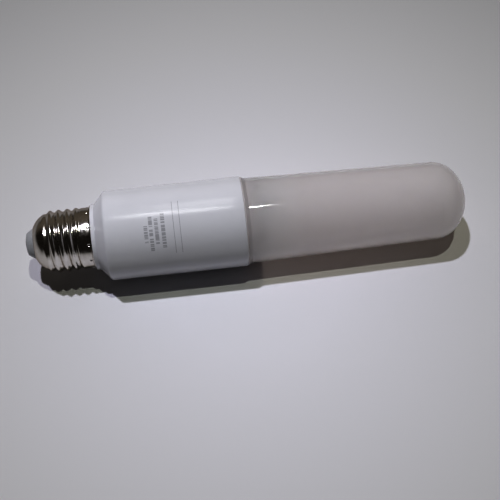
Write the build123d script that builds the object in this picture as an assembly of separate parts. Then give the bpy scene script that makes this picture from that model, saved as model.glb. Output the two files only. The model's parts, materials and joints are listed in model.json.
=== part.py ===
"""Tubular screw-cap lamp: opal tube, white housing and rolled screw shell.

The lamp lies along X. The end of its centre contact is at the origin, the dome points along +X and +Z is up.
All sizes are in millimetres.
"""

import os
from math import atan2, ceil, cos, degrees, pi, radians, sin, sqrt, tan

from build123d import *

# Centre contact: a button with a stem, let into the end of the insulator
contact_diameter = 7.0
contact_proud = 0.3
contact_sunk = 0.5
contact_edge_chamfer = 0.2
contact_stem_diameter = 2.4
contact_fit = 0.05

# Insulator: a cone outside the shell's mouth and a plug that fills the shell's shoulder
insulator_end_diameter = 9.4
insulator_base_diameter = 13.4
insulator_height = 3.0
insulator_edge_radius = 0.8
insulator_plug_depth = 3.2
insulator_fit = 0.05

# Screw shell: thin sheet with a 27 mm Edison thread, right-hand
thread_major_diameter = 26.2
thread_depth = 1.05
thread_pitch = 3.629
thread_start_angle = 83.0
thread_run_in = 3.4
thread_run_out = 2.4
thread_stations_per_turn = 10
shell_wall = 0.3
shell_length = 25.3
shoulder_radius = 9.5
shoulder_plain_length = 4.4
collar_diameter = 25.5
collar_length = 3.5
flare_length = 0.8
flare_angle = 45.0

# Staking dents from a blunt punch with flat flanks, which hold the shell on the housing's neck
dent_count = 11
dent_start_angle = 74.0
dent_diameter = 1.1
dent_flanks = 6
dent_flank_angle = 55.0
dent_depth = 0.2
dent_from_rim = 1.95

# Housing: neck, collar, cone, rounded shoulder and long body
neck_fit = 0.1
housing_length = 62.8
housing_collar_diameter = 27.6
housing_collar_length = 1.9
housing_cone_angle = 46.0
housing_shoulder_radius = 3.0
housing_shoulder_diameter = 37.9
housing_rim_diameter = 38.3
housing_rim_chamfer = 0.3
socket_wall = 1.55
socket_floor_gap = 0.3

# Diffuser: spigot in the housing, foot set back on its rim, drafted tube and domed end
diffuser_length = 95.7
diffuser_draft = 1.1
foot_set_back = 0.4
foot_thickness = 0.5
foot_taper_length = 1.1
foot_step = 0.6
spigot_length = 6.0
spigot_fit = 0.1
dome_knuckle_radius = 12.5
dome_crown_rise = 1.5

# Largest share of its wall that a rounded or bevelled edge takes
edge_share = 0.9

# Stations along the axis
x_insulator_end = contact_proud
x_contact_seat = x_insulator_end + contact_sunk
x_mouth = x_insulator_end + insulator_height
x_insulator_back = x_mouth + insulator_plug_depth
x_shell_rim = x_mouth + shell_length
x_flare = x_shell_rim - flare_length
x_thread_start = x_mouth + shoulder_plain_length
x_thread_end = x_flare - collar_length
x_cone = x_shell_rim + housing_collar_length
x_rim = x_shell_rim + housing_length
x_socket_floor = x_rim - spigot_length - socket_floor_gap
x_foot_end = x_rim + foot_thickness + foot_taper_length
x_tip = x_rim + diffuser_length

# Radii that several pieces share
thread_mean_radius = (thread_major_diameter - thread_depth) / 2
thread_bore_radius = thread_major_diameter / 2 - thread_depth - shell_wall
collar_radius = collar_diameter / 2
collar_bore_radius = collar_radius - shell_wall
mouth_radius = insulator_base_diameter / 2 + insulator_fit
shoulder_centre_r = thread_mean_radius - shoulder_radius
shoulder_rise = mouth_radius - shoulder_centre_r
shoulder_centre_x = x_mouth + sqrt(shoulder_radius**2 - shoulder_rise**2)
rim_radius = housing_rim_diameter / 2
socket_radius = rim_radius - socket_wall


def turned(outline):
    """Solid of revolution about the lamp's axis, from the closed outline of its half section."""
    return revolve(make_face(outline), axis=Axis.X)


def shoulder_r(x, inset=0.0):
    """Radius of the shell's shoulder arc at a station, or of an arc inside it by the inset."""
    return shoulder_centre_r + sqrt((shoulder_radius - inset) ** 2 - (x - shoulder_centre_x) ** 2)


def shoulder_x(r, inset=0.0):
    """Station where the shoulder arc, or the arc inside it by the inset, has a given radius."""
    return shoulder_centre_x - sqrt((shoulder_radius - inset) ** 2 - (r - shoulder_centre_r) ** 2)


def shoulder_arc(start, end, inset=0.0):
    """Arc of the shoulder between two (station, radius) points on it."""
    centre = (shoulder_centre_x, shoulder_centre_r)
    first = degrees(atan2(start[1] - centre[1], start[0] - centre[0]))
    last = degrees(atan2(end[1] - centre[1], end[0] - centre[0]))
    return CenterArc(centre, shoulder_radius - inset, first, last - first)


def smooth_step(t):
    """Eases from 0 to 1 as t goes from 0 to 1."""
    t = min(max(t, 0.0), 1.0)
    return t * t * (3 - 2 * t)


def thread_section(x):
    """Cross-section of the rolled thread: a circle whose centre winds round the axis once a pitch.

    The wind fades in on the shoulder and out at the collar, so the thread rises from plain sheet at both ends.
    """
    run_in = smooth_step((x - x_thread_start) / thread_run_in)
    run_out = smooth_step((x_thread_end - x) / thread_run_out)
    wind = thread_depth / 2 * run_in * run_out
    angle = radians(thread_start_angle) + 2 * pi * (x - x_thread_start) / thread_pitch
    radius = shoulder_r(x) if x < shoulder_centre_x else thread_mean_radius
    radius = collar_radius + (radius - collar_radius) * run_out
    centre = (x, wind * cos(angle), wind * sin(angle))
    return Plane(origin=centre, x_dir=(0, 1, 0), z_dir=(1, 0, 0)) * Circle(radius)


def dents():
    """Punch marks round the collar, each with its axis through the lamp's axis."""
    widening = dent_depth * tan(radians(dent_flank_angle))
    face = Plane.XY.offset(collar_radius + dent_depth) * RegularPolygon(dent_diameter / 2 + widening, dent_flanks)
    mark = extrude(face, -2 * dent_depth, taper=dent_flank_angle)
    spot = Pos(X=x_shell_rim - dent_from_rim) * mark
    first = dent_start_angle - 90
    return [Rot(X=first + number * 360 / dent_count) * spot for number in range(dent_count)]


def screw_shell():
    """Rolled sheet shell: shoulder, thread, collar and flared rim round a plain bore, with staking dents."""
    mouth = (x_mouth, mouth_radius)
    shoulder_top = (x_thread_start, shoulder_r(x_thread_start))
    shoulder = turned(
        shoulder_arc(mouth, shoulder_top)
        + Polyline(shoulder_top, (x_thread_start, 0), (x_mouth, 0), mouth)
    )

    steps = ceil((x_thread_end - x_thread_start) / thread_pitch * thread_stations_per_turn)
    stations = [x_thread_start + (x_thread_end - x_thread_start) * i / steps for i in range(steps + 1)]
    thread = loft([thread_section(x) for x in stations], ruled=True)

    flare_rise = flare_length * tan(radians(flare_angle))
    collar = turned(
        Polyline(
            (x_thread_end, 0),
            (x_thread_end, collar_radius),
            (x_flare, collar_radius),
            (x_shell_rim, collar_radius + flare_rise),
            (x_shell_rim, 0),
            close=True,
        )
    )

    lip = (shoulder_x(mouth_radius, shell_wall), mouth_radius)
    arc_end = (shoulder_x(thread_bore_radius, shell_wall), thread_bore_radius)
    flare_turn = x_flare + shell_wall * tan(radians(flare_angle / 2))
    flare_bore = collar_bore_radius + (x_shell_rim - flare_turn) * tan(radians(flare_angle))
    bore = turned(
        shoulder_arc(lip, arc_end, shell_wall)
        + Polyline(
            arc_end,
            (x_thread_end, thread_bore_radius),
            (x_thread_end, collar_bore_radius),
            (flare_turn, collar_bore_radius),
            (x_shell_rim, flare_bore),
            (x_shell_rim, 0),
            (x_mouth, 0),
            (x_mouth, mouth_radius),
            lip,
        )
    )
    return shoulder + thread + collar - bore - dents()


def insulator():
    """Cone with a rounded end outside the mouth, and inside it a plug under the shoulder, bored for the contact."""
    base_r = insulator_base_diameter / 2
    end_r = insulator_end_diameter / 2
    head_r = contact_diameter / 2 + contact_fit
    stem_r = contact_stem_diameter / 2 + contact_fit
    inset = shell_wall + insulator_fit
    waist = (shoulder_x(base_r, inset), base_r)
    back = (x_insulator_back, shoulder_r(x_insulator_back, inset))
    section = make_face(
        shoulder_arc(waist, back, inset)
        + Polyline(
            back,
            (x_insulator_back, stem_r),
            (x_contact_seat, stem_r),
            (x_contact_seat, head_r),
            (x_insulator_end, head_r),
            (x_insulator_end, end_r),
            (x_mouth, base_r),
            waist,
        )
    )
    edge = section.vertices().sort_by_distance((x_insulator_end, end_r))[0]
    section = fillet(edge, min(insulator_edge_radius, (end_r - head_r) * edge_share))
    return revolve(section, axis=Axis.X)


def centre_contact():
    """Button with a bevelled edge and a stem that reaches the insulator's back."""
    head_r = contact_diameter / 2
    stem_r = contact_stem_diameter / 2
    section = make_face(
        Polyline(
            (0, 0),
            (0, head_r),
            (x_contact_seat, head_r),
            (x_contact_seat, stem_r),
            (x_insulator_back, stem_r),
            (x_insulator_back, 0),
            close=True,
        )
    )
    edge = section.vertices().sort_by_distance((0, head_r))[0]
    section = chamfer(edge, min(contact_edge_chamfer, contact_proud * edge_share))
    return revolve(section, axis=Axis.X)


def housing():
    """Neck inside the shell, collar against its rim, cone, rounded shoulder and body with a socket at the far end."""
    inset = shell_wall + neck_fit
    neck_r = thread_bore_radius - neck_fit
    neck_collar_r = collar_bore_radius - neck_fit
    neck_front = (x_insulator_back, shoulder_r(x_insulator_back, inset))
    neck_shoulder = (shoulder_x(neck_r, inset), neck_r)
    neck = turned(
        shoulder_arc(neck_front, neck_shoulder, inset)
        + Polyline(
            neck_shoulder,
            (x_thread_end + neck_fit, neck_r),
            (x_thread_end + neck_fit, neck_collar_r),
            (x_shell_rim, neck_collar_r),
            (x_shell_rim, 0),
            (x_insulator_back, 0),
            neck_front,
        )
    )

    collar_r = housing_collar_diameter / 2
    shoulder_top_r = housing_shoulder_diameter / 2
    x_shoulder = x_cone + (shoulder_top_r - collar_r) / tan(radians(housing_cone_angle))
    section = make_face(
        Polyline(
            (x_shell_rim, 0),
            (x_shell_rim, collar_r),
            (x_cone, collar_r),
            (x_shoulder, shoulder_top_r),
            (x_rim, rim_radius),
            (x_rim, socket_radius),
            (x_socket_floor, socket_radius),
            (x_socket_floor, 0),
            close=True,
        )
    )
    shoulder = section.vertices().sort_by_distance((x_shoulder, shoulder_top_r))[0]
    section = fillet(shoulder, housing_shoulder_radius)
    rim = section.vertices().sort_by_distance((x_rim, rim_radius))[0]
    section = chamfer(rim, min(housing_rim_chamfer, socket_wall * edge_share))
    return neck + revolve(section, axis=Axis.X)


def diffuser():
    """Opal tube: spigot, tapered foot on the rim, drafted wall, knuckle and crown of the dome."""
    slope = tan(radians(diffuser_draft))
    spigot_r = socket_radius - spigot_fit
    foot_r = rim_radius - foot_set_back
    tube_r = foot_r - foot_step

    # The knuckle's arc touches the drafted wall, and the crown's arc touches the knuckle and ends at the tip
    knuckle_x = x_tip - dome_knuckle_radius - dome_crown_rise
    wall_r = tube_r - slope * (knuckle_x - x_foot_end)
    knuckle_r = wall_r - dome_knuckle_radius / cos(radians(diffuser_draft))
    dome_height = dome_knuckle_radius + dome_crown_rise
    crown_radius = (dome_height**2 + knuckle_r**2 - dome_knuckle_radius**2) / (2 * dome_crown_rise)
    crown_x = x_tip - crown_radius
    turn = degrees(atan2(knuckle_r, knuckle_x - crown_x))
    wall_turn = 90 - diffuser_draft
    knuckle = CenterArc((knuckle_x, knuckle_r), dome_knuckle_radius, wall_turn, turn - wall_turn)
    crown = CenterArc((crown_x, 0), crown_radius, turn, -turn)

    sides = Polyline(
        crown @ 1,
        (x_rim - spigot_length, 0),
        (x_rim - spigot_length, spigot_r),
        (x_rim, spigot_r),
        (x_rim, foot_r),
        (x_rim + foot_thickness, foot_r),
        (x_foot_end, tube_r),
        knuckle @ 0,
    )
    return turned(knuckle + crown + sides)


pieces = {
    "centre_contact": centre_contact,
    "insulator": insulator,
    "screw_shell": screw_shell,
    "housing": housing,
    "diffuser": diffuser,
}

os.makedirs("parts", exist_ok=True)
for name, make in pieces.items():
    shape = make()
    export_step(shape, f"parts/{name}.step")
    print(name, round(shape.volume, 1))
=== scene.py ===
import json
import math
import bpy
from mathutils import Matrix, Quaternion, Vector

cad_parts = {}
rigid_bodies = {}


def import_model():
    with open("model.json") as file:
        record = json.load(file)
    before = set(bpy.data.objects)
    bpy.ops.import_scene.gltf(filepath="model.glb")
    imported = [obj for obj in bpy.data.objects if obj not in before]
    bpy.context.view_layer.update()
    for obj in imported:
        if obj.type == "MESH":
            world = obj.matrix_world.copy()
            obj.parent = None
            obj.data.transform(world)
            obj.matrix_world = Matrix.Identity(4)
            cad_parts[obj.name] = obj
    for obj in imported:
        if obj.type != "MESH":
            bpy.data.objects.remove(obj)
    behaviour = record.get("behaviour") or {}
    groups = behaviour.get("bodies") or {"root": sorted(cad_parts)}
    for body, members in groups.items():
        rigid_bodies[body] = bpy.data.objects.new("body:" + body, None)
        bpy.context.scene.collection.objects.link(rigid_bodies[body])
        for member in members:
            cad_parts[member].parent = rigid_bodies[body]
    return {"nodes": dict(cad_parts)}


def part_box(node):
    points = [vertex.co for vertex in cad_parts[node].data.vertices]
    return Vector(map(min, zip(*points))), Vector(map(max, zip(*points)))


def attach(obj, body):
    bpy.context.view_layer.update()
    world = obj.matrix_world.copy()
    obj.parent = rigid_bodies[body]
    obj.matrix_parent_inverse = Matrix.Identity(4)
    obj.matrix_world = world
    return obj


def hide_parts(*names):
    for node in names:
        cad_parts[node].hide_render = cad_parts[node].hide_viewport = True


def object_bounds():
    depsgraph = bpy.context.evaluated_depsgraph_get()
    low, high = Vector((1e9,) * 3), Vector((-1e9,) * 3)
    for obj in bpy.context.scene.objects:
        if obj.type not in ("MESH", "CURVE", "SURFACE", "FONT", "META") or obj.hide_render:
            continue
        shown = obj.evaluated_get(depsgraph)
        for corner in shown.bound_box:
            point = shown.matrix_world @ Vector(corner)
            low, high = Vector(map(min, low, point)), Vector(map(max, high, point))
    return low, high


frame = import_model()  # the lamp lies along X, contact face at the origin, +Z up
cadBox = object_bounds()  # its lowest point sets the floor's height
mm = 0.001
mergeMm = 0.001  # vertices closer than this become one
print("frame loaded:", ", ".join(sorted(frame["nodes"])))


# camera, set where the photograph was taken from
cameraView = {
    "eye": (68.0, -231.8, 331.0),  # mm from the contact face
    "aim": (92.34, -15.04, 0.0),
    "rollDeg": 0.94,  # right side down
    "lensMm": 68.4,
    "sensorMm": 36.0,
    "nearest": 0.01,  # m
}


def placeCamera(view):
    bpy.ops.object.select_all(action="DESELECT")
    bpy.ops.object.camera_add()
    camera = bpy.context.object
    camera.name = "photoCamera"
    eye = Vector(view["eye"]) * mm
    forward = (Vector(view["aim"]) * mm - eye).normalized()
    level = forward.to_track_quat("-Z", "Y")
    roll = Quaternion(forward, math.radians(view["rollDeg"]))
    camera.rotation_mode = "QUATERNION"
    camera.location = eye
    camera.rotation_quaternion = roll @ level
    camera.data.lens = view["lensMm"]
    camera.data.sensor_width = view["sensorMm"]
    camera.data.clip_start = view["nearest"]
    bpy.context.scene.camera = camera


placeCamera(cameraView)
print("camera placed")


# tools shared by the turned pieces: a ring is pulled along the axis, section by section
def startRing(name, station, radius, sides):
    bpy.ops.object.select_all(action="DESELECT")
    bpy.ops.mesh.primitive_circle_add(
        vertices=sides,
        radius=radius * mm,
        fill_type="NOTHING",
        location=(station * mm, 0, 0),
        rotation=(0, math.pi / 2, 0),
    )
    piece = bpy.context.object
    piece.name = name
    piece.data.name = name
    bpy.ops.object.transform_apply(location=True, rotation=True, scale=True)
    bpy.ops.object.mode_set(mode="EDIT")
    bpy.ops.mesh.select_mode(type="VERT")
    bpy.ops.mesh.select_all(action="SELECT")
    return piece


def pullRing(shift, centre, growth):
    move = {"value": [s * mm for s in shift]}
    bpy.ops.mesh.extrude_region_move(TRANSFORM_OT_translate=move)
    if not math.isclose(growth, 1):
        middle = [c * mm for c in centre]
        bpy.ops.transform.resize(value=(1, growth, growth), center_override=middle)


def closePole():
    bpy.ops.mesh.extrude_region_move(TRANSFORM_OT_translate={"value": (0, 0, 0)})
    bpy.ops.mesh.merge(type="CENTER")


def arcPoints(centre, radius, startDeg, endDeg, steps):
    points = []
    for step in range(steps + 1):
        angle = math.radians(startDeg + (endDeg - startDeg) * step / steps)
        station = centre[0] + radius * math.cos(angle)
        points.append((station, centre[1] + radius * math.sin(angle)))
    return points


def turnPiece(name, outline, sides, smoothDeg):
    # the outline runs from one pole to the other as (station, radius) in mm, poles left out
    (station, radius), rest = outline[0], outline[1:]
    piece = startRing(name, station, radius, sides)
    for nextStation, nextRadius in rest:
        pullRing((nextStation - station, 0, 0), (nextStation, 0, 0), nextRadius / radius)
        station, radius = nextStation, nextRadius
    closePole()
    bpy.ops.mesh.select_all(action="DESELECT")
    bpy.ops.mesh.select_non_manifold()  # the open first ring is all that is left
    closePole()
    finishMesh(smoothDeg)
    return piece


def finishMesh(smoothDeg):
    bpy.ops.mesh.select_all(action="SELECT")
    bpy.ops.mesh.remove_doubles(threshold=mergeMm * mm)
    bpy.ops.mesh.normals_make_consistent(inside=False)
    bpy.ops.object.mode_set(mode="OBJECT")
    bpy.ops.object.shade_smooth_by_angle(angle=math.radians(smoothDeg))


def seat(piece, node, material):
    piece.data.materials.clear()
    piece.data.materials.append(material)
    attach(piece, "root")
    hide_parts(node)
    print("made", piece.name, len(piece.data.polygons), "faces")


# material tools; in the finishes below a noise is its scale, its detail and any stretch,
# and a bump is its strength and its depth in mm
noiseGrit = 0.55  # roughness of every noise
noiseSpan = (0.3, 0.7)  # the part of a noise that most finishes use


def newFinish(name):
    material = bpy.data.materials.new(name)
    material.use_nodes = True
    tree = material.node_tree
    shader = tree.nodes["Principled BSDF"]
    coords = tree.nodes.new("ShaderNodeTexCoord")
    return material, tree, shader, coords.outputs["Object"]


def addNoise(tree, coords, scale, detail, stretch=(1, 1, 1)):
    mapping = tree.nodes.new("ShaderNodeMapping")
    mapping.inputs["Scale"].default_value = stretch
    tree.links.new(coords, mapping.inputs["Vector"])
    noise = tree.nodes.new("ShaderNodeTexNoise")
    noise.inputs["Scale"].default_value = scale
    noise.inputs["Detail"].default_value = detail
    noise.inputs["Roughness"].default_value = noiseGrit
    tree.links.new(mapping.outputs["Vector"], noise.inputs["Vector"])
    return noise.outputs["Fac"]


def mapValue(tree, value, fromMin, fromMax, toMin, toMax):
    ranged = tree.nodes.new("ShaderNodeMapRange")
    ranged.inputs["From Min"].default_value = fromMin
    ranged.inputs["From Max"].default_value = fromMax
    ranged.inputs["To Min"].default_value = toMin
    ranged.inputs["To Max"].default_value = toMax
    tree.links.new(value, ranged.inputs["Value"])
    return ranged.outputs["Result"]


def rampColours(tree, value, stops):
    ramp = tree.nodes.new("ShaderNodeValToRGB")
    elements = ramp.color_ramp.elements
    elements.remove(elements[1])
    for place, (position, colour) in enumerate(stops):
        element = elements[0] if place == 0 else elements.new(position)
        element.position = position
        element.color = (*colour, 1)
    tree.links.new(value, ramp.inputs["Fac"])
    return ramp.outputs["Color"]


def colourByNoise(tree, noise, colours, span=noiseSpan):
    return rampColours(tree, noise, list(zip(span, colours)))


def roughenByNoise(tree, shader, noise, limits):
    tree.links.new(mapValue(tree, noise, *noiseSpan, *limits), shader.inputs["Roughness"])


def addBump(tree, shader, height, strength, depth):
    bump = tree.nodes.new("ShaderNodeBump")
    bump.inputs["Strength"].default_value = strength
    bump.inputs["Distance"].default_value = depth * mm
    tree.links.new(height, bump.inputs["Height"])
    tree.links.new(bump.outputs["Normal"], shader.inputs["Normal"])


# screw shell: rolled sheet, right-hand thread, staking dents, flared rim
screwShell = {
    "sides": 88,  # a multiple of the dents, so each has a vertex at its middle
    "mouthRadius": 6.75,
    "lipRadius": 0.42,  # sheet edge rolled in round the insulator
    "lipSteps": 8,
    "shoulderRadius": 9.5,
    "plainLength": 3.9,
    "plainSteps": 14,
    "threadMajor": 13.1,
    "threadDepth": 1.05,
    "threadPitch": 3.629,
    "threadStartDeg": 33.4,
    "threadRunIn": 3.6,
    "threadRunOut": 2.4,
    "stationsPerTurn": 20,
    "collarRadius": 12.75,
    "collarLength": 3.05,
    "rimInset": 0.95,  # the housing's collar comes forward over the rim
    "flareLength": 0.3,
    "flareRise": 0.7,
    "flarePower": 1.5,  # above 1 the flare turns up late
    "flareSteps": 5,
    "wall": 0.3,
    "dents": 11,
    "dentStartDeg": 74.0,
    "dentFromRim": 1.03,
    "dentRadius": 0.64,
    "dentDepth": 0.34,
    "dentCuts": 4,
    "dentBand": (0.9, 0.7),  # plain wall kept before and after the dents' middles
    "smoothDeg": 32,
}


def easeStep(t):
    t = min(max(t, 0.0), 1.0)
    return t * t * (3 - 2 * t)


def shellSections(shell):
    # (station, radius, centre y, centre z) from the mouth to the flared rim
    low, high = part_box("screw_shell")
    mouth, rim = low.x / mm, high.x / mm - shell["rimInset"]
    mean = shell["threadMajor"] - shell["threadDepth"] / 2
    arcCentre = mean - shell["shoulderRadius"]
    rise = shell["mouthRadius"] - arcCentre
    arcStation = mouth + math.sqrt(shell["shoulderRadius"] ** 2 - rise**2)
    flare = rim - shell["flareLength"]
    threadStart = mouth + shell["plainLength"]
    threadEnd = flare - shell["collarLength"]

    def shoulderAt(station):
        if station >= arcStation:
            return mean
        return arcCentre + math.sqrt(shell["shoulderRadius"] ** 2 - (station - arcStation) ** 2)

    # the lip's arc starts at the insulator and runs into the shoulder's arc
    lip = shell["lipRadius"]
    lipRise = shell["mouthRadius"] + lip - arcCentre
    lipReach = math.sqrt((shell["shoulderRadius"] - lip) ** 2 - lipRise**2)
    lipCentre = (arcStation - lipReach, arcCentre + lipRise)
    joinDeg = 180 - math.degrees(math.atan2(lipRise, lipReach))
    lipArc = arcPoints(lipCentre, lip, 270, joinDeg, shell["lipSteps"])
    sections = [(x, r, 0, 0) for x, r in lipArc]

    # the shoulder up to the thread
    lipJoin = lipArc[-1][0]
    for step in range(1, shell["plainSteps"] + 1):
        station = lipJoin + (threadStart - lipJoin) * step / shell["plainSteps"]
        sections.append((station, shoulderAt(station), 0, 0))

    # the thread: a ring whose centre winds round the axis as it is pulled along
    turns = (threadEnd - threadStart) / shell["threadPitch"]
    threadSteps = math.ceil(turns * shell["stationsPerTurn"])
    for step in range(1, threadSteps + 1):
        station = threadStart + (threadEnd - threadStart) * step / threadSteps
        runIn = easeStep((station - threadStart) / shell["threadRunIn"])
        runOut = easeStep((threadEnd - station) / shell["threadRunOut"])
        wind = shell["threadDepth"] / 2 * runIn * runOut
        turnDeg = 360 * (station - threadStart) / shell["threadPitch"]
        angle = math.radians(shell["threadStartDeg"] + turnDeg)
        radius = shell["collarRadius"] + (shoulderAt(station) - shell["collarRadius"]) * runOut
        sections.append((station, radius, wind * math.cos(angle), wind * math.sin(angle)))

    # the plain collar, with a ring through the dents' middles, and the flare
    dent = rim - shell["dentFromRim"]
    before, after = shell["dentBand"]
    for station in (dent - before, dent, dent + after, flare):
        sections.append((station, shell["collarRadius"], 0, 0))
    for step in range(1, shell["flareSteps"] + 1):
        t = step / shell["flareSteps"]
        radius = shell["collarRadius"] + shell["flareRise"] * t ** shell["flarePower"]
        sections.append((flare + shell["flareLength"] * t, radius, 0, 0))
    return sections, dent


def makeScrewShell(shell, material):
    sections, dentStation = shellSections(shell)
    (station, radius, y, z), rest = sections[0], sections[1:]
    piece = startRing("screwShell", station, radius, shell["sides"])
    for nextStation, nextRadius, nextY, nextZ in rest:
        shift = (nextStation - station, nextY - y, nextZ - z)
        pullRing(shift, (nextStation, nextY, nextZ), nextRadius / radius)
        station, radius, y, z = nextStation, nextRadius, nextY, nextZ
    turnWallOut(piece, dentStation)
    pressDents(piece, shell, dentStation)
    bpy.ops.object.mode_set(mode="OBJECT")
    sheet = piece.modifiers.new("sheet", "SOLIDIFY")
    sheet.thickness = shell["wall"] * mm
    sheet.offset = -1  # the wall grows inwards
    bpy.ops.object.modifier_apply(modifier=sheet.name)
    bpy.ops.object.shade_smooth_by_angle(angle=math.radians(shell["smoothDeg"]))
    seat(piece, "screw_shell", material)


def turnWallOut(piece, station):
    # an open wall has no inside yet, so a face of the collar says which way is out
    bpy.ops.mesh.select_all(action="SELECT")
    bpy.ops.mesh.normals_make_consistent(inside=False)
    bpy.ops.object.mode_set(mode="OBJECT")
    face = min(piece.data.polygons, key=lambda face: abs(face.center.x - station * mm))
    inward = face.normal.dot(Vector((0, face.center.y, face.center.z))) < 0
    bpy.ops.object.mode_set(mode="EDIT")
    if inward:
        bpy.ops.mesh.flip_normals()


def pickVertex(piece, spot):
    bpy.ops.mesh.select_all(action="DESELECT")
    bpy.ops.object.mode_set(mode="OBJECT")
    nearest = min(piece.data.vertices, key=lambda vertex: (vertex.co - spot).length)
    nearest.select = True
    bpy.ops.object.mode_set(mode="EDIT")


def pressDents(piece, shell, station):
    for number in range(shell["dents"]):
        angle = math.radians(shell["dentStartDeg"] + number * 360 / shell["dents"])
        outward = Vector((0, math.cos(angle), math.sin(angle)))
        spot = Vector((station * mm, 0, 0)) + outward * shell["collarRadius"] * mm
        pickVertex(piece, spot)
        bpy.ops.mesh.select_more()  # the four faces round it
        bpy.ops.mesh.subdivide(number_cuts=shell["dentCuts"])
        pickVertex(piece, spot)
        bpy.ops.transform.translate(
            value=outward * (-shell["dentDepth"] * mm),
            use_proportional_edit=True,
            proportional_edit_falloff="SPHERE",
            proportional_size=shell["dentRadius"] * mm,
        )


# nickel plate: bright, slightly warm, with faint drawing lines and rubbed patches
nickelPlate = {
    "colours": ((0.68, 0.655, 0.625), (0.79, 0.765, 0.735)),
    "colourSpan": (0.35, 0.65),
    "edgeTint": (0.50, 0.46, 0.42),  # what it keeps of a reflection at a glancing angle
    "roughness": (0.10, 0.24),
    "patches": (260, 5),
    "rubbing": (900, 3),
    "drawnLines": (700, 2, (3, 0.6, 0.6)),
    "bump": (0.05, 0.02),
}


def makeNickel(plate):
    material, tree, shader, coords = newFinish("nickelPlate")
    patches = addNoise(tree, coords, *plate["patches"])
    colour = colourByNoise(tree, patches, plate["colours"], plate["colourSpan"])
    tree.links.new(colour, shader.inputs["Base Color"])
    shader.inputs["Metallic"].default_value = 1.0
    shader.inputs["Specular Tint"].default_value = (*plate["edgeTint"], 1)
    roughenByNoise(tree, shader, addNoise(tree, coords, *plate["rubbing"]), plate["roughness"])
    addBump(tree, shader, addNoise(tree, coords, *plate["drawnLines"]), *plate["bump"])
    return material


makeScrewShell(screwShell, makeNickel(nickelPlate))


# housing: neck in the shell, collar, cone, rounded shoulder, body and socket
housing = {
    "sides": 160,
    "neckFit": 0.1,
    "neckLead": (2.2, 1.4),  # length and depth of the taper at the neck's end
    "collarRadius": 13.8,
    "collarLength": 1.6,
    "collarAhead": 0.65,  # how far the collar comes over the shell's rim
    "coneDeg": 49.5,
    "coneFillet": 0.6,  # radius in the corner of collar and cone
    "coneFilletAhead": 0.25,
    "shoulderRadius": 1.7,
    "shoulderTop": 18.95,
    "shoulderSteps": 10,
    "edge": 0.3,
    "edgeSteps": 4,
    "bodySteps": 12,
    "socketWall": 1.55,
    "socketDepth": 6.3,
    "socketEdge": 0.15,
    "smoothDeg": 40,
}


def makeHousing(body, shell, material):
    low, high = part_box("housing")
    front, rim = low.x / mm, high.x / mm
    rimRadius = high.z / mm
    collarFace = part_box("screw_shell")[1].x / mm - body["collarAhead"]
    cone = collarFace + body["collarLength"]
    slope = math.radians(body["coneDeg"])
    shoulder = cone + (body["shoulderTop"] - body["collarRadius"]) / math.tan(slope)
    draft = math.atan2(rimRadius - body["shoulderTop"], rim - shoulder)

    # the shoulder's arc touches the cone and the drafted body
    bend = body["shoulderRadius"]
    reach = bend * math.tan((slope - draft) / 2)
    start = (shoulder - reach * math.cos(slope), body["shoulderTop"] - reach * math.sin(slope))
    centre = (start[0] + bend * math.sin(slope), start[1] - bend * math.cos(slope))
    fromDeg, toDeg = 90 + math.degrees(slope), 90 + math.degrees(draft)
    shoulderArc = arcPoints(centre, bend, fromDeg, toDeg, body["shoulderSteps"])

    # neck, inside the shell
    neck = shell["threadMajor"] - shell["threadDepth"] - shell["wall"] - body["neckFit"]
    neckStep = collarFace - shell["flareLength"] - shell["collarLength"] + body["neckFit"]
    neckCollar = shell["collarRadius"] - shell["wall"] - body["neckFit"]
    leadLength, leadDepth = body["neckLead"]
    edge, edgeSteps = body["edge"], body["edgeSteps"]
    outline = [
        (front, neck - leadDepth),
        (front + leadLength, neck),
        (neckStep, neck),
        (neckStep, neckCollar),
        (collarFace, neckCollar),
        (collarFace, body["collarRadius"] - edge),
    ]

    # collar, cone and shoulder
    collarEdge = (collarFace + edge, body["collarRadius"] - edge)
    outline += arcPoints(collarEdge, edge, 180, 90, edgeSteps)[1:]
    fillet = body["coneFillet"]
    filletCentre = (cone - body["coneFilletAhead"], body["collarRadius"] + fillet)
    outline += arcPoints(filletCentre, fillet, 270, 270 + body["coneDeg"], edgeSteps)
    outline += shoulderArc

    # body, rim and socket
    bodyStart, bodyRadius = shoulderArc[-1]
    for step in range(1, body["bodySteps"]):
        t = step / body["bodySteps"]
        station = bodyStart + (rim - edge - bodyStart) * t
        outline.append((station, bodyRadius + (rimRadius - bodyRadius) * t))
    outline += arcPoints((rim - edge, rimRadius - edge), edge, 90, 0, edgeSteps)
    socket = rimRadius - body["socketWall"]
    outline += [
        (rim, socket + body["socketEdge"]),
        (rim - body["socketEdge"], socket),
        (rim - body["socketDepth"], socket),
    ]
    piece = turnPiece("housingBody", outline, body["sides"], body["smoothDeg"])
    seat(piece, "housing", material)


# white satin plastic, with rows of plain grey ticks printed on the side
satinWhite = {
    "colours": ((0.715, 0.72, 0.746), (0.746, 0.751, 0.777)),
    "roughness": (0.16, 0.22),
    "ior": 1.49,
    "cloud": (60, 4),
    "grain": (2600, 3),
    "bump": (0.25, 0.02),
    "inkColour": (0.30, 0.30, 0.32),
    "inkShare": 0.55,
    "tickRows": (  # station, height in mm, from and to in degrees from the top towards the front
        (50.6, 1.5, 28.4, 49.4),
        (52.7, 1.5, 15.9, 60.4),
        (55.0, 1.5, 20.4, 52.4),
        (57.7, 1.6, 14.4, 57.4),
    ),
    "lineRows": (
        (62.0, 0.22, -0.6, 66.4),
        (64.6, 0.22, -0.6, 66.4),
    ),
    "groupTicks": (9.0, 0.66),  # marks per radian, and the share that is inked
    "fineTicks": (34.0, 0.58),
    "tickDetail": 1.0,
    "rowShift": 3.7,  # radians, so that no two rows are alike
}


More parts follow.
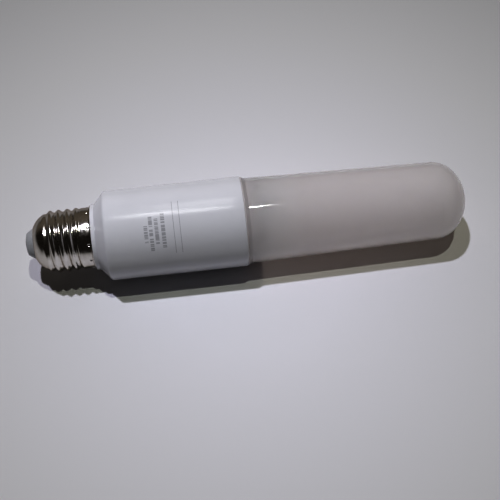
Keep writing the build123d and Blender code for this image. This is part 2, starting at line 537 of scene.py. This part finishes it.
def mathNode(tree, operation, *values):
    node = tree.nodes.new("ShaderNodeMath")
    node.operation = operation
    for socket, value in zip(node.inputs, values):
        if isinstance(value, (int, float)):
            socket.default_value = value
        else:
            tree.links.new(value, socket)
    return node.outputs["Value"]


def addTicks(tree, angle, scale, share, detail):
    # uneven marks along the angle
    noise = tree.nodes.new("ShaderNodeTexNoise")
    noise.noise_dimensions = "1D"
    noise.inputs["Scale"].default_value = scale
    noise.inputs["Detail"].default_value = detail
    tree.links.new(angle, noise.inputs["W"])
    return mathNode(tree, "GREATER_THAN", noise.outputs["Fac"], 1 - share)


def addPrint(tree, coords, look):
    split = tree.nodes.new("ShaderNodeSeparateXYZ")
    tree.links.new(coords, split.inputs["Vector"])
    forward = mathNode(tree, "MULTIPLY", split.outputs["Y"], -1.0)
    angle = mathNode(tree, "ARCTAN2", forward, split.outputs["Z"])
    ink = None
    rows = look["tickRows"] + look["lineRows"]
    for number, (station, height, fromDeg, toDeg) in enumerate(rows):
        middle = math.radians((fromDeg + toDeg) / 2)
        half = math.radians((toDeg - fromDeg) / 2)
        row = mathNode(tree, "COMPARE", split.outputs["X"], station * mm, height / 2 * mm)
        row = mathNode(tree, "MULTIPLY", row, mathNode(tree, "COMPARE", angle, middle, half))
        if number < len(look["tickRows"]):
            shifted = mathNode(tree, "ADD", angle, look["rowShift"] * (number + 1))
            for ticks in ("groupTicks", "fineTicks"):
                marks = addTicks(tree, shifted, *look[ticks], look["tickDetail"])
                row = mathNode(tree, "MULTIPLY", row, marks)
        ink = row if ink is None else mathNode(tree, "MAXIMUM", ink, row)
    return mathNode(tree, "MULTIPLY", ink, look["inkShare"])


def makeSatinWhite(look):
    material, tree, shader, coords = newFinish("satinWhite")
    plain = colourByNoise(tree, addNoise(tree, coords, *look["cloud"]), look["colours"])
    printed = tree.nodes.new("ShaderNodeMix")
    printed.data_type = "RGBA"
    tree.links.new(addPrint(tree, coords, look), printed.inputs["Factor"])
    tree.links.new(plain, printed.inputs["A"])
    printed.inputs["B"].default_value = (*look["inkColour"], 1)
    tree.links.new(printed.outputs["Result"], shader.inputs["Base Color"])
    grain = addNoise(tree, coords, *look["grain"])
    roughenByNoise(tree, shader, grain, look["roughness"])
    addBump(tree, shader, grain, *look["bump"])
    shader.inputs["IOR"].default_value = look["ior"]
    return material


makeHousing(housing, screwShell, makeSatinWhite(satinWhite))


# diffuser: spigot, foot on the rim, drafted tube, knuckle and crown
diffuser = {
    "sides": 160,
    "footThickness": 0.5,
    "footEdge": 0.1,
    "footTaper": 1.4,
    "footStep": 0.6,
    "footTurn": 0.15,  # short run that keeps the foot's bend tight
    "draftDeg": 1.1,
    "tubeSteps": 20,
    "knuckleRadius": 12.5,
    "knuckleSteps": 28,
    "crownRise": 1.5,
    "crownSteps": 10,
    "crownEndDeg": 0.6,  # the last ring before the pole
    "spigotRadius": 17.5,
    "spigotEdge": 0.4,
    "smoothDeg": 20,
}


def makeDiffuser(tube, material):
    low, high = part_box("diffuser")
    back, tip = low.x / mm, high.x / mm
    footRadius = high.z / mm
    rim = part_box("housing")[1].x / mm
    footEnd = rim + tube["footThickness"] + tube["footTaper"]
    tubeRadius = footRadius - tube["footStep"]
    draft = math.radians(tube["draftDeg"])

    # the knuckle's arc touches the drafted wall, and the crown's arc touches the knuckle's
    knuckle, crownRise = tube["knuckleRadius"], tube["crownRise"]
    knuckleStation = tip - knuckle - crownRise
    wallRadius = tubeRadius - math.tan(draft) * (knuckleStation - footEnd)
    knuckleCentre = wallRadius - knuckle / math.cos(draft)
    height = knuckle + crownRise
    crownRadius = (height**2 + knuckleCentre**2 - knuckle**2) / (2 * crownRise)
    crownStation = tip - crownRadius
    turn = math.degrees(math.atan2(knuckleCentre, knuckleStation - crownStation))

    # spigot and foot
    outline = [
        (back, tube["spigotRadius"] - tube["spigotEdge"]),
        (back + tube["spigotEdge"], tube["spigotRadius"]),
        (rim, tube["spigotRadius"]),
        (rim, footRadius - tube["footEdge"]),
        (rim + tube["footEdge"], footRadius),
        (rim + tube["footThickness"], footRadius),
        (footEnd, tubeRadius),
        (footEnd + tube["footTurn"], tubeRadius - math.tan(draft) * tube["footTurn"]),
    ]

    # tube, knuckle and crown
    knuckleStart = knuckleStation + knuckle * math.sin(draft)
    for step in range(1, tube["tubeSteps"]):
        station = footEnd + (knuckleStart - footEnd) * step / tube["tubeSteps"]
        outline.append((station, tubeRadius - math.tan(draft) * (station - footEnd)))
    knuckleMiddle = (knuckleStation, knuckleCentre)
    startDeg = 90 - tube["draftDeg"]
    outline += arcPoints(knuckleMiddle, knuckle, startDeg, turn, tube["knuckleSteps"])
    endDeg = tube["crownEndDeg"]
    outline += arcPoints((crownStation, 0), crownRadius, turn, endDeg, tube["crownSteps"])[1:]
    piece = turnPiece("diffuserTube", outline, tube["sides"], tube["smoothDeg"])
    seat(piece, "diffuser", material)


# opal plastic: milky, a little pink, glossy skin
opalSkin = {
    "colours": ((0.905, 0.835, 0.835), (0.935, 0.865, 0.865)),
    "span": (0.092, 0.182),  # m, from the rim to the dome
    "paintedLightShades": (  # painted light: whiter at the housing's end and darker towards the dome, making up for light the scattering loses into the spigot
        (0.0, (1.0, 1.0, 1.0)),
        (0.27, (0.815, 0.775, 0.775)),
        (1.0, (0.765, 0.73, 0.73)),
    ),
    "roughness": (0.065, 0.085),
    "ior": 1.5,
    "cloud": (40, 3),
    "skin": (300, 3),
    "ripple": (120, 2),
    "bump": (0.006, 0.05),
    "scatterMm": (220.0, 215.0, 215.0),
    "scatterShare": (0.72, 1.0),  # less light is carried off inside where the foot sits on the rim
    "shareSpan": (0.0924, 0.0974),  # m
}


def makeOpal(look):
    material, tree, shader, coords = newFinish("opalSkin")
    milky = colourByNoise(tree, addNoise(tree, coords, *look["cloud"]), look["colours"])
    split = tree.nodes.new("ShaderNodeSeparateXYZ")
    tree.links.new(coords, split.inputs["Vector"])
    place = mapValue(tree, split.outputs["X"], *look["span"], 0, 1)
    # painted light: the opal's colour is lightened near the housing and darkened towards the dome
    along = rampColours(tree, place, look["paintedLightShades"])
    shaded = tree.nodes.new("ShaderNodeMix")
    shaded.data_type = "RGBA"
    shaded.blend_type = "MULTIPLY"
    shaded.inputs["Factor"].default_value = 1.0
    tree.links.new(milky, shaded.inputs["A"])
    tree.links.new(along, shaded.inputs["B"])
    tree.links.new(shaded.outputs["Result"], shader.inputs["Base Color"])
    roughenByNoise(tree, shader, addNoise(tree, coords, *look["skin"]), look["roughness"])
    addBump(tree, shader, addNoise(tree, coords, *look["ripple"]), *look["bump"])
    share = mapValue(tree, split.outputs["X"], *look["shareSpan"], *look["scatterShare"])
    tree.links.new(share, shader.inputs["Subsurface Weight"])
    shader.inputs["Subsurface Radius"].default_value = look["scatterMm"]
    shader.inputs["Subsurface Scale"].default_value = mm
    shader.inputs["IOR"].default_value = look["ior"]
    return material


makeDiffuser(diffuser, makeOpal(opalSkin))


# insulator: pale cone in the shell's mouth
insulator = {
    "sides": 96,
    "endRadius": 4.7,
    "baseRadius": 6.7,
    "edge": 0.8,
    "edgeSteps": 8,
    "headRadius": 3.55,
    "headSunk": 0.5,
    "plugRadius": 10.3,
    "plugWaist": 0.36,
    "plugRamp": (0.9, 1.4),  # length and rise behind the waist
    "smoothDeg": 40,
}


def makeInsulator(cone, material):
    low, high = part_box("insulator")
    end, back = low.x / mm, high.x / mm
    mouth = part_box("screw_shell")[0].x / mm
    base = cone["baseRadius"]
    outline = [(end + cone["headSunk"], cone["headRadius"]), (end, cone["headRadius"])]
    slope = math.degrees(math.atan2(base - cone["endRadius"], mouth - end))
    reach = cone["edge"] * math.tan(math.radians((90 - slope) / 2))
    centre = (end + cone["edge"], cone["endRadius"] - reach)
    outline += arcPoints(centre, cone["edge"], 180, 90 + slope, cone["edgeSteps"])
    waist = mouth + cone["plugWaist"]
    rampLength, rampRise = cone["plugRamp"]
    outline += [
        (mouth, base),
        (waist, base),
        (waist + rampLength, base + rampRise),
        (back, cone["plugRadius"]),
    ]
    piece = turnPiece("insulatorCone", outline, cone["sides"], cone["smoothDeg"])
    seat(piece, "insulator", material)


paleInsulator = {
    "colours": ((0.40, 0.41, 0.42), (0.46, 0.47, 0.48)),
    "roughness": (0.22, 0.36),
    "cloud": (300, 4),
    "grain": (1500, 3),
    "bump": (0.08, 0.02),
}


def makePaleInsulator(look):
    material, tree, shader, coords = newFinish("paleInsulator")
    cloud = addNoise(tree, coords, *look["cloud"])
    colour = colourByNoise(tree, cloud, look["colours"])
    tree.links.new(colour, shader.inputs["Base Color"])
    roughenByNoise(tree, shader, cloud, look["roughness"])
    addBump(tree, shader, addNoise(tree, coords, *look["grain"]), *look["bump"])
    return material


makeInsulator(insulator, makePaleInsulator(paleInsulator))


# centre contact: button with a rounded edge and a stem
contact = {
    "sides": 72,
    "faceRing": 0.8,  # first ring round the pole
    "headRadius": 3.5,
    "headLength": 0.8,
    "edge": 0.2,
    "edgeSteps": 4,
    "stemRadius": 1.2,
    "smoothDeg": 40,
}


def makeContact(button, material):
    low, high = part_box("centre_contact")
    face, stemEnd = low.x / mm, high.x / mm
    head, edge = button["headRadius"], button["edge"]
    headEnd = face + button["headLength"]
    outline = [(face, button["faceRing"]), (face, head - edge)]
    outline += arcPoints((face + edge, head - edge), edge, 180, 90, button["edgeSteps"])[1:]
    outline += [
        (headEnd, head),
        (headEnd, button["stemRadius"]),
        (stemEnd, button["stemRadius"]),
    ]
    piece = turnPiece("contactButton", outline, button["sides"], button["smoothDeg"])
    seat(piece, "centre_contact", material)


brightContact = {
    "colours": ((0.62, 0.58, 0.50), (0.74, 0.70, 0.62)),
    "colourSpan": (0.35, 0.65),
    "roughness": (0.18, 0.34),
    "rubbing": (700, 4),
    "grain": (1200, 2),
    "bump": (0.08, 0.02),
}


def makeBrightContact(look):
    material, tree, shader, coords = newFinish("brightContact")
    rubbed = addNoise(tree, coords, *look["rubbing"])
    colour = colourByNoise(tree, rubbed, look["colours"], look["colourSpan"])
    tree.links.new(colour, shader.inputs["Base Color"])
    shader.inputs["Metallic"].default_value = 1.0
    roughenByNoise(tree, shader, rubbed, look["roughness"])
    addBump(tree, shader, addNoise(tree, coords, *look["grain"]), *look["bump"])
    return material


makeContact(contact, makeBrightContact(brightContact))


# stage: pale floor with a painted falloff of light, small key and second lamp overhead, dim room
# a light's place is a direction from lightAim, with its distance and its size in m
keyPlace = {"from": (-0.1775, 0.15, 1.0), "distance": 1.6, "size": 0.06}
secondPlace = {"from": (0.105, -0.005, 1.0), "distance": 2.4, "size": 0.02}
tubePlace = {"from": (0.1065, -0.009, 1.0), "distance": 2.4, "size": 0.02}
metalPieces = ("screwShell", "contactButton")
stage = {
    "floorSize": 4.0,
    "floorMiddle": (0.094, -0.018, 0),
    "floorReach": 0.6,  # m, where the painted falloff reaches its last shade
    # painted pool of light: the floor is palest in the middle and darkens outwards, standing in
    # for the lamps' falloff
    "floorPaintedFalloff": (
        (0.0, (0.77, 0.77, 0.795)),
        (0.06, (0.755, 0.755, 0.78)),
        (0.25, (0.59, 0.59, 0.585)),
        (0.5, (0.36, 0.36, 0.35)),
        (1.0, (0.25, 0.25, 0.245)),
    ),
    "floorRoughness": 0.6,
    "roomFront": (0.036, 0.031, 0.026),
    "roomBack": (0.21, 0.185, 0.155),
    "roomSpan": (0.3, 0.6),  # Y of the direction where the front ends and the back begins
    "tone": 0.58,  # contrast of the photograph
    "lightAim": (93, 0, 0),  # mm
    "lights": {  # one that sparkles gives highlights, on the pieces it names and on no other
        "key": {**keyPlace, "watts": 14.0, "colour": (0.952, 0.964, 1.136)},
        "through": {
            **keyPlace,
            "watts": 2.5,
            "colour": (1.10, 0.98, 0.82),
            "passes": "diffuserTube",  # the share of the key that the opal lets through
        },
        "second": {**secondPlace, "watts": 15.6, "colour": (1.0, 1.03, 0.90)},
        "keySparkle": {
            **keyPlace,
            "watts": 14.0,
            "colour": (0.96, 0.96, 1.08),
            "sparklesOn": metalPieces,
        },
        "secondSparkle": {
            **secondPlace,
            "watts": 15.6,
            "colour": (1.0, 1.03, 0.90),
            "sparklesOn": metalPieces,
        },
        "tubeSparkle": {
            **tubePlace,
            "watts": 2.1,
            "colour": (1.0, 1.0, 0.96),
            "sparklesOn": ("diffuserTube",),
            "brightens": False,  # a highlight and nothing else
        },
    },
    "panels": {  # patches of ceiling, seen only as highlights
        "panelMiddle": {"at": (-0.045, 0.37, 2.4), "size": (0.13, 0.25), "watts": 1.9},
        "panelRight": {"at": (0.085, 0.17, 2.4), "size": (0.13, 0.25), "watts": 1.6},
        "panelSheen": {"at": (0.14, 1.0, 2.4), "size": (0.36, 0.8), "watts": 2.6},
    },
}


def makeFloor(look):
    bpy.ops.object.select_all(action="DESELECT")
    bpy.ops.mesh.primitive_plane_add(size=look["floorSize"], location=(0, 0, cadBox[0].z))
    floor = bpy.context.object
    floor.name = "paleFloor"
    material, tree, shader, coords = newFinish("paleTable")
    # painted pool of light: the floor's colour darkens with distance from floorMiddle
    fromMiddle = tree.nodes.new("ShaderNodeVectorMath")
    fromMiddle.operation = "DISTANCE"
    fromMiddle.inputs[1].default_value = look["floorMiddle"]
    tree.links.new(coords, fromMiddle.inputs[0])
    fade = mapValue(tree, fromMiddle.outputs["Value"], 0, look["floorReach"], 0, 1)
    tree.links.new(rampColours(tree, fade, look["floorPaintedFalloff"]), shader.inputs["Base Color"])
    shader.inputs["Roughness"].default_value = look["floorRoughness"]
    floor.data.materials.append(material)


def addLight(name, light, aim):
    bpy.ops.object.select_all(action="DESELECT")
    direction = Vector(light["from"]).normalized()
    place = Vector(aim) * mm + direction * light["distance"]
    bpy.ops.object.light_add(type="AREA", location=place)
    lamp = bpy.context.object
    lamp.name = name
    lamp.rotation_mode = "QUATERNION"
    lamp.rotation_quaternion = (-direction).to_track_quat("-Z", "Y")
    lamp.data.shape = "DISK"
    lamp.data.size = light["size"]
    lamp.data.energy = light["watts"]
    lamp.data.color = light["colour"]
    lamp.visible_glossy = "sparklesOn" in light  # the rest light without a highlight
    lamp.visible_diffuse = light.get("brightens", True)
    if "sparklesOn" in light:
        lightOnly(lamp, light["sparklesOn"])
    if "passes" in light:
        passThrough(lamp, light["passes"])


def lightOnly(lamp, pieceNames):
    lit = bpy.data.collections.new(lamp.name + "Pieces")
    for pieceName in pieceNames:
        lit.objects.link(bpy.data.objects[pieceName])
    lamp.light_linking.receiver_collection = lit


def passThrough(lamp, pieceName):
    # the piece casts no shadow from this light
    clear = bpy.data.collections.new("letsLightThrough")
    clear.objects.link(bpy.data.objects[pieceName])
    clear.collection_objects[0].light_linking.link_state = "EXCLUDE"
    lamp.light_linking.blocker_collection = clear


def addPanel(name, panel):
    bpy.ops.object.select_all(action="DESELECT")
    bpy.ops.object.light_add(type="AREA", location=panel["at"])  # a new area light faces down
    lamp = bpy.context.object
    lamp.name = name
    lamp.data.shape = "RECTANGLE"
    lamp.data.size, lamp.data.size_y = panel["size"]
    lamp.data.energy = panel["watts"]
    lamp.visible_diffuse = False


def makeRoom(look):
    room = bpy.data.worlds.new("dimRoom")
    room.use_nodes = True
    tree = room.node_tree
    coords = tree.nodes.new("ShaderNodeTexCoord")
    split = tree.nodes.new("ShaderNodeSeparateXYZ")
    tree.links.new(coords.outputs["Generated"], split.inputs["Vector"])
    behind = mapValue(tree, split.outputs["Y"], *look["roomSpan"], 0, 1)
    wall = rampColours(tree, behind, [(0.0, look["roomFront"]), (1.0, look["roomBack"])])
    tree.links.new(wall, tree.nodes["Background"].inputs["Color"])
    bpy.context.scene.world = room


makeFloor(stage)
for lightName, lightSettings in stage["lights"].items():
    addLight(lightName, lightSettings, stage["lightAim"])
for panelName, panelSettings in stage["panels"].items():
    addPanel(panelName, panelSettings)
makeRoom(stage)
bpy.context.scene.view_settings.view_transform = "Standard"
bpy.context.scene.view_settings.gamma = stage["tone"]
print("stage lit")
